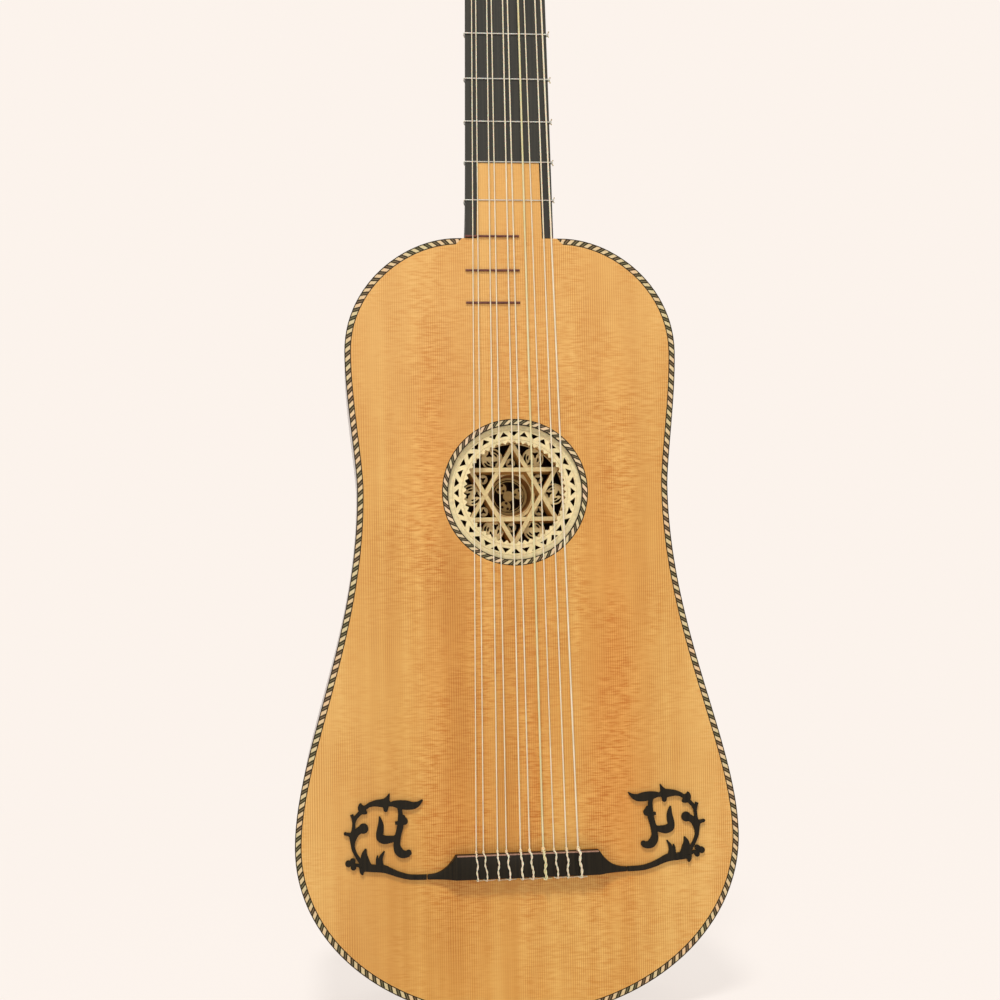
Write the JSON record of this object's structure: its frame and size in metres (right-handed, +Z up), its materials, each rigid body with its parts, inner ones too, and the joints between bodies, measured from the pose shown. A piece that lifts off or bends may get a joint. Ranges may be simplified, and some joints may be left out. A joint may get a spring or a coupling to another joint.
{
  "type": "baroque guitar",
  "caption": "Five-course baroque guitar with a tiered parchment rose, foliate bridge ornaments, rope edge binding, tied gut frets and a flat head with turning wooden pegs.",
  "frame": {"origin": "centre of the bounding box in plan, at the tail of the body", "axes": "+Z up the neck from the tail, -Y out of the soundboard towards the viewer, +X to the viewer's right"},
  "size_m": [0.2624, 0.0963, 0.9459],
  "materials": {
    "spruce": "satin varnished spruce, honey coloured",
    "rib_wood": "satin varnish",
    "inside_wood": "bare",
    "ebony": "oiled, dark",
    "rope_inlay": "slanting dark and light strips",
    "parchment": "matte cream parchment",
    "bone": "polished bone",
    "gut": "twisted gut",
    "fret_wood": "dark red-brown hardwood"
  },
  "bodies": {
    "guitar": {"soundboard": "spruce", "soundboard_binding": "rope_inlay", "back_plate_left": "rib_wood", "back_plate_right": "rib_wood", "back_binding": "rope_inlay", "side_left": "rib_wood", "side_right": "rib_wood", "neck_block": "inside_wood", "tail_block": "inside_wood", "top_lining_left": "inside_wood", "top_lining_right": "inside_wood", "back_lining_left": "inside_wood", "back_lining_right": "inside_wood", "top_bar_upper": "inside_wood", "top_bar_lower": "inside_wood", "back_brace_upper": "inside_wood", "back_brace_lower": "inside_wood", "neck": "ebony", "fingerboard": "ebony", "nut": "bone", "head": "ebony", "body_fret_10": "fret_wood", "body_fret_11": "fret_wood", "body_fret_12": "fret_wood", "bridge": "ebony", "moustache_left": "ebony", "moustache_right": "ebony", "rose_rope_ring": "rope_inlay", "rose_rim_tier": "parchment", "rose_star_tier": "parchment", "rose_well_tier": "parchment", "string_1": "gut", "string_2": "gut", "string_3": "gut", "string_4": "gut", "string_5": "gut", "string_6": "gut", "string_7": "gut", "string_8": "gut", "string_9": "gut", "string_10": "gut"},
    "neck_fret_1": {"neck_fret_1": "gut"},
    "neck_fret_2": {"neck_fret_2": "gut"},
    "neck_fret_3": {"neck_fret_3": "gut"},
    "neck_fret_4": {"neck_fret_4": "gut"},
    "neck_fret_5": {"neck_fret_5": "gut"},
    "neck_fret_6": {"neck_fret_6": "gut"},
    "neck_fret_7": {"neck_fret_7": "gut"},
    "neck_fret_8": {"neck_fret_8": "gut"},
    "neck_fret_9": {"neck_fret_9": "gut"},
    "peg_1": {"peg_1": "ebony"},
    "peg_2": {"peg_2": "ebony"},
    "peg_3": {"peg_3": "ebony"},
    "peg_4": {"peg_4": "ebony"},
    "peg_5": {"peg_5": "ebony"},
    "peg_6": {"peg_6": "ebony"},
    "peg_7": {"peg_7": "ebony"},
    "peg_8": {"peg_8": "ebony"},
    "peg_9": {"peg_9": "ebony"},
    "peg_10": {"peg_10": "ebony"}
  },
  "joints": [
    {"name": "peg_1_turn", "type": "hinge", "parent": "guitar", "child": "peg_1", "pos_m": [-0.0235, -0.03404, 0.78536], "axis": [0, -0.9903, 0.1392], "continuous": true},
    {"name": "peg_2_turn", "type": "hinge", "parent": "guitar", "child": "peg_2", "pos_m": [-0.02425, -0.02987, 0.81506], "axis": [0, -0.9903, 0.1392], "continuous": true},
    {"name": "peg_3_turn", "type": "hinge", "parent": "guitar", "child": "peg_3", "pos_m": [-0.025, -0.02569, 0.84477], "axis": [0, -0.9903, 0.1392], "continuous": true},
    {"name": "peg_4_turn", "type": "hinge", "parent": "guitar", "child": "peg_4", "pos_m": [-0.02575, -0.02152, 0.87448], "axis": [0, -0.9903, 0.1392], "continuous": true},
    {"name": "peg_5_turn", "type": "hinge", "parent": "guitar", "child": "peg_5", "pos_m": [-0.0265, -0.01734, 0.90419], "axis": [0, -0.9903, 0.1392], "continuous": true},
    {"name": "peg_6_turn", "type": "hinge", "parent": "guitar", "child": "peg_6", "pos_m": [0.0265, -0.01734, 0.90419], "axis": [0, -0.9903, 0.1392], "continuous": true},
    {"name": "peg_7_turn", "type": "hinge", "parent": "guitar", "child": "peg_7", "pos_m": [0.02575, -0.02152, 0.87448], "axis": [0, -0.9903, 0.1392], "continuous": true},
    {"name": "peg_8_turn", "type": "hinge", "parent": "guitar", "child": "peg_8", "pos_m": [0.025, -0.02569, 0.84477], "axis": [0, -0.9903, 0.1392], "continuous": true},
    {"name": "peg_9_turn", "type": "hinge", "parent": "guitar", "child": "peg_9", "pos_m": [0.02425, -0.02987, 0.81506], "axis": [0, -0.9903, 0.1392], "continuous": true},
    {"name": "peg_10_turn", "type": "hinge", "parent": "guitar", "child": "peg_10", "pos_m": [0.0235, -0.03404, 0.78536], "axis": [0, -0.9903, 0.1392], "continuous": true},
    {"name": "neck_fret_1_slide", "type": "slide", "parent": "guitar", "child": "neck_fret_1", "axis": [0, 0, 1], "range_m": [-0.003, 0.003]},
    {"name": "neck_fret_2_slide", "type": "slide", "parent": "guitar", "child": "neck_fret_2", "axis": [0, 0, 1], "range_m": [-0.003, 0.003]},
    {"name": "neck_fret_3_slide", "type": "slide", "parent": "guitar", "child": "neck_fret_3", "axis": [0, 0, 1], "range_m": [-0.003, 0.003]},
    {"name": "neck_fret_4_slide", "type": "slide", "parent": "guitar", "child": "neck_fret_4", "axis": [0, 0, 1], "range_m": [-0.003, 0.003]},
    {"name": "neck_fret_5_slide", "type": "slide", "parent": "guitar", "child": "neck_fret_5", "axis": [0, 0, 1], "range_m": [-0.003, 0.003]},
    {"name": "neck_fret_6_slide", "type": "slide", "parent": "guitar", "child": "neck_fret_6", "axis": [0, 0, 1], "range_m": [-0.003, 0.003]},
    {"name": "neck_fret_7_slide", "type": "slide", "parent": "guitar", "child": "neck_fret_7", "axis": [0, 0, 1], "range_m": [0, 0.003]},
    {"name": "neck_fret_8_slide", "type": "slide", "parent": "guitar", "child": "neck_fret_8", "axis": [0, 0, 1], "range_m": [0, 0.003]},
    {"name": "neck_fret_9_slide", "type": "slide", "parent": "guitar", "child": "neck_fret_9", "axis": [0, 0, 1], "range_m": [0, 0.003]}
  ]
}
